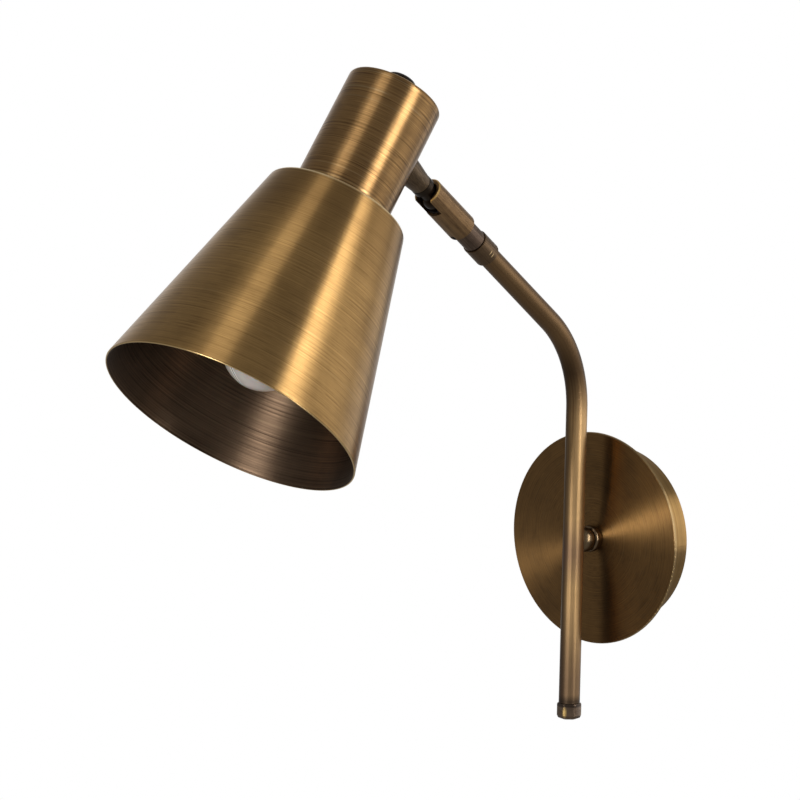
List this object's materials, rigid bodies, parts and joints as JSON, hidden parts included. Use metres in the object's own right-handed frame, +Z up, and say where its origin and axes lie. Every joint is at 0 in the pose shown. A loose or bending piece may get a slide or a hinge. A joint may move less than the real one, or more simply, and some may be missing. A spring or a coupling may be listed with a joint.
{
  "type": "adjustable wall light",
  "caption": "Adjustable antique brass wall light: round canopy, bent tube arm on a swivel, slotted ball knuckle and a conical shade under a cylinder head.",
  "frame": {"origin": "centre of the bracket's two wall slots, on the wall's face, which is also the canopy's axis", "axes": "+Y into the wall, the light standing out along -Y; +Z up; +X to the right for someone who faces the wall"},
  "size_m": [0.1482, 0.3838, 0.3801],
  "materials": {
    "spun_brass": "antique brass, spun and brushed round the axis, lacquered",
    "turned_disc": "dark antique brass, turned face",
    "arm_brass": "antique brass tube, brushed along its length",
    "fitting_brass": "antique brass, turned, satin",
    "dark_bronze": "dark bronzed brass, satin",
    "zinc_steel": "zinc plated steel",
    "dark_steel": "blackened steel screws",
    "white_plastic": "white thermoplastic",
    "black_plastic": "black moulded plastic",
    "contact_metal": "plain brass contact metal",
    "bulb_cap": "plain aluminium screw cap",
    "opal_glass": "opal white glass, satin"
  },
  "bodies": {
    "canopy": {"wall_bracket": "zinc_steel", "canopy_cup": "spun_brass", "canopy_disc": "turned_disc", "canopy_side_screws": "dark_steel", "earth_screw": "zinc_steel", "terminal_block": "white_plastic", "swivel_bush": "fitting_brass", "bush_washer": "zinc_steel", "bush_nut": "zinc_steel"},
    "arm": {"arm_hub": "fitting_brass", "hub_washer": "zinc_steel", "hub_nut": "zinc_steel", "arm_tube": "arm_brass", "tube_end_cap": "fitting_brass", "tube_ferrule": "fitting_brass"},
    "knuckle": {"neck_spindle": "dark_bronze", "spindle_ring": "zinc_steel", "joint_sleeve": "dark_bronze", "sleeve_set_screw": "dark_steel", "pressure_pad": "black_plastic", "disc_springs": "zinc_steel"},
    "head": {"ball_stud": "fitting_brass", "stem_lock_ring": "fitting_brass", "head_stem": "fitting_brass", "stem_saddle": "zinc_steel", "stem_nut": "zinc_steel", "head_cylinder": "spun_brass", "shade": "spun_brass", "shade_ring": "black_plastic", "holder_shell": "black_plastic", "holder_screw_shell": "contact_metal", "holder_contact_base": "black_plastic", "holder_nipple": "zinc_steel", "holder_nut": "zinc_steel", "top_cap_nut": "fitting_brass", "bulb_base": "bulb_cap", "bulb_globe": "opal_glass"}
  },
  "joints": [
    {"name": "arm_swivel", "type": "hinge", "parent": "canopy", "child": "arm", "pos_m": [0, -0.0268, 0], "axis": [0, -1, 0], "range_deg": [-90, 90]},
    {"name": "neck_swivel", "type": "hinge", "parent": "arm", "child": "knuckle", "pos_m": [0, -0.12988, 0.17688], "axis": [0, -0.7944, 0.6074], "range_deg": [-90, 90]},
    {"name": "head_tilt", "type": "hinge", "parent": "knuckle", "child": "head", "pos_m": [0, -0.1646, 0.20342], "axis": [1, 0, 0], "range_deg": [-4, 60]}
  ]
}
